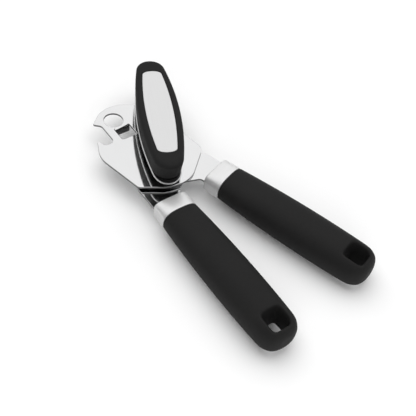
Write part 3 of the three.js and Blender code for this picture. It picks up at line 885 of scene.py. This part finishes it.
def cutting_wheel():
    low, high = span("cutting_wheel")
    inner = STUD_JOURNAL + RUN_GAP
    bm = turned([
        (inner, low.z), (5.0, low.z), (5.2, low.z + 0.3), (6.8, low.z + 0.5),
        (BLADE, high.z - 0.25), (BLADE, high.z), (6.2, high.z), (6.0, high.z - 0.12),
        (4.4, high.z - 0.12), (4.2, high.z), (inner, high.z),
    ], at=CUTTER, soft=0.05, steps=128, closed=True)
    return piece("round_blade", bm, "cutter", "hardened_steel", HARDENED, ["cutting_wheel"])


def moving_lever():
    moving_strip()
    cutter_stud()
    cutting_wheel()
    handle("a", 1, "moving_lever", OPEN_ANGLE, COLLAR_A, STRIP_A)


# ---------------------------------------------------------------- shaft, feed wheel and knob
def thread(radius, low, high, pitch=0.8, depth=0.28):
    """Crests and roots of a thread, up its outside."""
    turns = int((high - low) / pitch)
    points = [(0, low), (radius - 0.5, low)]
    for i in range(turns):
        points.append((radius - depth, low + pitch * i + 0.12))
        points.append((radius, low + pitch * (i + 0.5)))
    points.append((radius - depth, high))
    return points


def drive_shaft():
    low, high = span("drive_shaft")
    wheel_low, wheel_high = span("feed_wheel")[0].z, span("feed_wheel")[1].z
    shoulder = span("upper_washer")[1].z - 0.1
    bm = turned([
        *thread(THREAD, low.z, wheel_low - 0.7), (THREAD, wheel_low - 0.6), (THREAD, wheel_high),
        (JOURNAL, wheel_high), (JOURNAL, shoulder), (0, shoulder),
    ], soft=0)
    squares = (
        (WHEEL_SQUARE, wheel_low + 0.1, wheel_high + 0.5), (KNOB_SQUARE, shoulder - 0.5, high.z),
    )
    for half, start, end in squares:
        bar = bmesh.ops.create_cube(bm, size=1)["verts"]
        bmesh.ops.scale(bm, verts=bar, vec=(2 * half, 2 * half, end - start))
        bmesh.ops.translate(bm, verts=bar, vec=(0, 0, (start + end) / 2))
        edges = list({edge for vert in bar for edge in vert.link_edges})
        bmesh.ops.bevel(
            bm, geom=edges, offset=0.2, offset_type="OFFSET", segments=2, profile=0.5,
            affect="EDGES", material=-1, clamp_overlap=True,
        )
    return piece(
        "turned_shaft", bm, "drive", "hardened_steel", HARDENED, ["drive_shaft"], turn=KNOB_ANGLE
    )


def feed_wheel():
    low, high = span("feed_wheel")
    radius, tooth, teeth = 7.45, 0.95, 24
    corners = []
    for i in range(teeth):
        for r, share, soft in ((radius, 0.0, 0.12), (radius - tooth, 0.5, 0.18)):
            angle = 2 * math.pi * (i + share) / teeth
            corners.append((r * math.cos(angle), r * math.sin(angle), soft))
    bm = sheet(
        lambda made: rounded(made, corners), [square_hole(0, 0, 5.2, 5.2, 0.3)],
        low.z, high.z, 0.2,
    )
    return piece(
        "serrated_wheel", bm, "drive", "hardened_steel", HARDENED, ["feed_wheel"], turn=KNOB_ANGLE
    )


def shaft_nut():
    low, high = span("shaft_nut")
    across = 8.0 / 2 / math.cos(math.pi / 6)
    corners = [
        (across * math.cos(math.radians(60 * i)), across * math.sin(math.radians(60 * i)), 0.4)
        for i in range(6)
    ]
    bm = sheet(lambda made: rounded(made, corners), [round_hole(0, 0, THREAD + FIXED_GAP)],
               low.z, high.z, 0.3)
    return piece("hex_nut", bm, "drive", "polished_steel", POLISHED, ["shaft_nut"],
                 turn=KNOB_ANGLE + math.pi / 6)


def lens(share, half, middle, end, corner, bow, grow):
    """A point on a long outline along X, with bulging sides and ends that bow out past half."""
    half, middle, end, corner = half + grow, middle + grow, end + grow, corner + grow
    bulge = 2 * middle - end
    turn = Vector((half - corner, end + (bulge - end) * corner / half))
    pull_x = half + (4 * bow + corner) / 3
    pull_y = turn.y + (pull_x - turn.x) * (end - turn.y) / corner
    quarter, t = divmod(share * 4, 1)
    t = 1 - t if quarter % 2 else t
    if t < LENS_END:
        u = 0.5 * (1 - t / LENS_END)
        x = turn.x * ((1 - u) ** 3 + u ** 3) + pull_x * 3 * u * (1 - u)
        y = turn.y * ((1 - u) ** 3 - u ** 3) + pull_y * 3 * u * (1 - u) * (1 - 2 * u)
    else:
        crown = (turn.y + bulge) / 2
        x = turn.x * (1 - t) / (1 - LENS_END)
        y = crown - (crown - turn.y) * (x / turn.x) ** 2
    flip = ((1, 1), (-1, 1), (-1, -1), (1, -1))[int(quarter) % 4]
    return Vector((x * flip[0], y * flip[1]))


def cap_ring(z, grow, pull=0.0):
    """The cap's outline at a height: it draws in towards its foot, and by pull at its ends."""
    low, high = span("knob_cap")
    down = (high.z - z) / (high.z - low.z)
    along = 1 - (down * CAP_TAPER[0] + pull) / KNOB_PLAN[0]
    across = 1 - down * CAP_TAPER[1] / KNOB_PLAN[1]

    def station(share):
        x, y = lens(share, *KNOB_PLAN, grow)
        return Vector((x * along, y * across, z))
    return station


def shoulder_ring(z, grow):
    """The cap's outline where it turns in to its flat top, gentler round the ends."""
    return cap_ring(z, grow, pull=-grow)


def rim_ring(z, grow):
    def station(share):
        return Vector((*lens(share, *RIM_PLAN, grow), z))
    return station


def inlay_ring(z, grow):
    def station(share):
        return Vector((*lens(share, *INLAY_PLAN, grow), z))
    return station


def bore_ring(z, radius):
    def station(share):
        angle = 2 * math.pi * share
        return Vector((radius * math.cos(angle), radius * math.sin(angle), z))
    return station


def quarter_turn(make, z, grow, radius, up, steps=5, rise=None):
    """Rings round a quarter of an edge, from the side wall to the flat, going up or down."""
    rise = rise or radius
    rings = []
    for i in range(steps + 1):
        angle = math.radians(90 * i / steps)
        rings.append(make(
            z + up * rise * (math.sin(angle) - 1), grow - radius * (1 - math.cos(angle))
        ))
    return rings


KNOB_STEPS = 160


def knob_cap():
    """The soft cap: a hollow shell, rounded on top, with a recess for the inlay."""
    low, high = span("knob_cap")
    top, floor = high.z, high.z - INLAY_DEEP
    rings = [cap_ring(floor - CAP_WALL, -CAP_WALL), cap_ring(low.z + 0.3, -CAP_WALL)]
    rings += [cap_ring(low.z, 0.3 - CAP_WALL), cap_ring(low.z, -0.5)]
    rings += [cap_ring(low.z + 0.15, -0.15), cap_ring(low.z + 0.5, 0.0)]
    rings += [cap_ring(low.z + 3.5, 0.0), cap_ring(low.z + 6.5, 0.0)]
    rings += quarter_turn(shoulder_ring, top, 0.0, 2.7, 1, steps=12, rise=3.2)
    rings += [shoulder_ring(top, -3.0), inlay_ring(top, 0.75), inlay_ring(top - 0.06, 0.35)]
    rings += [inlay_ring(top - 0.3, 0.14), inlay_ring(floor, 0.14)]
    return piece(
        "soft_knob_cap", loft(KNOB_STEPS, rings), "drive", "soft_black", SOFT, ["knob_cap"],
        turn=KNOB_ANGLE, sharp=50,
    )


def knob_inlay():
    low, high = span("knob_inlay")
    rings = [inlay_ring(low.z, -0.1)]
    rings += quarter_turn(inlay_ring, high.z, 0.0, 0.45, 1, steps=4)
    return piece(
        "satin_inlay", loft(KNOB_STEPS, rings), "drive", "brushed_steel", INLAY, ["knob_inlay"],
        turn=KNOB_ANGLE, sharp=50,
    )


def knob_rim():
    """The bright plate under the cap, with rounded edges, bored for the boss."""
    low, high = span("knob_rim")
    soft, bore = 0.45, BOSS + 0.3
    rings = [bore_ring(high.z, bore)]
    rings += quarter_turn(rim_ring, high.z, 0.0, soft, 1)[::-1]
    rings += quarter_turn(rim_ring, low.z, 0.0, soft, -1)
    rings += [bore_ring(low.z, bore), rings[0]]
    bm = loft(KNOB_STEPS, rings, close_start=False, close_end=False)
    return piece("bright_rim_plate", bm, "drive", "polished_steel", RIM, ["knob_rim"],
                 turn=KNOB_ANGLE, sharp=50)


def knob_base():
    """The hard plate under the rim, with the boss that grips the shaft."""
    low, high = span("knob_base")
    plate_low = span("knob_rim")[0].z - BASE_DROP
    rings = [rim_ring(plate_low, -2.0), rim_ring(plate_low, -1.0), rim_ring(plate_low + 0.3, -0.7)]
    rings += [rim_ring(plate_low + 1.0, -0.7), rim_ring(plate_low + 1.2, -0.9)]
    bm = loft(KNOB_STEPS, rings)
    boss = turned([
        (0, low.z + 0.4), (3.2, low.z + 0.4), (3.4, low.z), (BOSS, low.z),
        (BOSS, high.z), (0, high.z),
    ], soft=0.3)
    add_shape(bm, boss)
    return piece("knob_base_plate", bm, "drive", "hard_black", HARD, ["knob_base"],
                 turn=KNOB_ANGLE)


def knob_screw():
    low, high = span("knob_screw")
    head = (high.x - low.x) / 2
    under = high.z - HEAD_HIGH
    dome = [
        (head * math.cos(math.radians(a)), under + 0.7 + 0.9 * math.sin(math.radians(a)))
        for a in (0, 20, 40, 60, 75)
    ]
    socket = [(0.9, high.z - 0.02), (0.7, high.z - 0.6), (0, high.z - 0.7)]
    shank = thread(SCREW, low.z, under, pitch=0.7, depth=0.25)
    bm = turned(shank + [(SCREW, under), (head, under)] + dome + socket, soft=0)
    return piece("cap_screw", bm, "drive", "hardened_steel", HARDENED, ["knob_screw"])


def turning_group():
    drive_shaft()
    feed_wheel()
    shaft_nut()
    rings = (
        ("nylon_washer", "upper_washer", JOURNAL, 0.15, "nylon", NYLON),
        ("shim_washer", "lower_washer", JOURNAL, 0.1, "hardened_steel", HARDENED),
        ("spring_ring", "spring_washer", THREAD, 0.1, "hardened_steel", HARDENED),
    )
    for name, node, inner, soft, slot, finish in rings:
        piece(name, washer(inner + FIXED_GAP, node, soft=soft), "drive", slot, finish, [node])
    knob_base()
    knob_rim()
    knob_cap()
    knob_inlay()
    knob_screw()


# ---------------------------------------------------------------- stage
def look_along(place, forward, roll):
    """A matrix that looks along forward, with the picture turned by roll."""
    forward = forward.normalized()
    level = forward.cross(Vector((0, 0, 1))).normalized()
    upright = level.cross(forward)
    right = math.cos(roll) * level + math.sin(roll) * upright
    up = -math.sin(roll) * level + math.cos(roll) * upright
    turn = Matrix((right, up, -forward)).transposed().to_4x4()
    return Matrix.Translation(place) @ turn


def camera():
    data = bpy.data.cameras.new("camera")
    data.lens = 77.88
    data.sensor_width = 36
    made = bpy.data.objects.new("camera", data)
    bpy.context.scene.collection.objects.link(made)
    place = Vector((-263.36, -346.43, 452.58)) * MM
    aim = Vector((-0.17, -62.95, 0.9)) * MM
    made.matrix_world = look_along(place, aim - place, math.radians(9.68))
    bpy.context.scene.camera = made


MIDDLE = (0.0, -0.06, 0.0)


def softbox(name, place, aim, size, power):
    """A soft light that doesn't show in the steel."""
    data = bpy.data.lights.new(name, "AREA")
    data.shape = "RECTANGLE"
    data.size, data.size_y = size
    data.energy = power
    made = bpy.data.objects.new(name, data)
    bpy.context.scene.collection.objects.link(made)
    place = Vector(place)
    made.matrix_world = look_along(place, Vector(aim) - place, 0)
    made.visible_glossy = False


def room():
    """A pale floor in a white room, brighter behind and to the right, with a dark horizon."""
    bm = bmesh.new()
    bmesh.ops.create_circle(bm, cap_ends=True, segments=96, radius=6)
    bmesh.ops.translate(bm, verts=bm.verts, vec=(0, 0, -0.0002))
    mesh = bpy.data.meshes.new("floor")
    bm.to_mesh(mesh)
    bm.free()
    mesh.materials.append(floor_paper())
    floor = bpy.data.objects.new("floor", mesh)
    bpy.context.scene.collection.objects.link(floor)
    world = bpy.data.worlds.new("white_room")
    world.use_nodes = True
    nodes, links = world.node_tree.nodes, world.node_tree.links
    direction = nodes.new("ShaderNodeTexCoord")
    lean = nodes.new("ShaderNodeVectorMath")
    lean.operation = "DOT_PRODUCT"
    lean.inputs[1].default_value = (0.62, 0.42, 0.66)
    links.new(direction.outputs["Generated"], lean.inputs[0])
    split = nodes.new("ShaderNodeSeparateXYZ")
    links.new(direction.outputs["Generated"], split.inputs[0])
    strength = nodes.new("ShaderNodeMath")
    strength.operation = "MULTIPLY"
    levels = (
        (lean.outputs["Value"], -0.35, 0.8, 0.15, 0.9), (split.outputs["Z"], 0.0, 0.42, 0.1, 1.0),
    )
    for i, (source, start, end, low, high) in enumerate(levels):
        ramp = nodes.new("ShaderNodeMapRange")
        ramp.interpolation_type = "SMOOTHSTEP"
        limits = {"From Min": start, "From Max": end, "To Min": low, "To Max": high}
        for socket, value in limits.items():
            ramp.inputs[socket].default_value = value
        links.new(source, ramp.inputs["Value"])
        links.new(ramp.outputs["Result"], strength.inputs[i])
    links.new(strength.outputs["Value"], nodes["Background"].inputs["Strength"])
    nodes["Background"].inputs["Color"].default_value = (1, 1, 1, 1)
    bpy.context.scene.world = world


bpy.context.scene.view_settings.view_transform = "Standard"
camera()
room()
softbox("key", (0.15, 0.3, 1.1), MIDDLE, (1.6, 1.6), 8.4)
softbox("fill", (-0.7, -0.95, 0.42), MIDDLE, (1.0, 0.8), 5.6)
fixed_lever()
moving_lever()
turning_group()
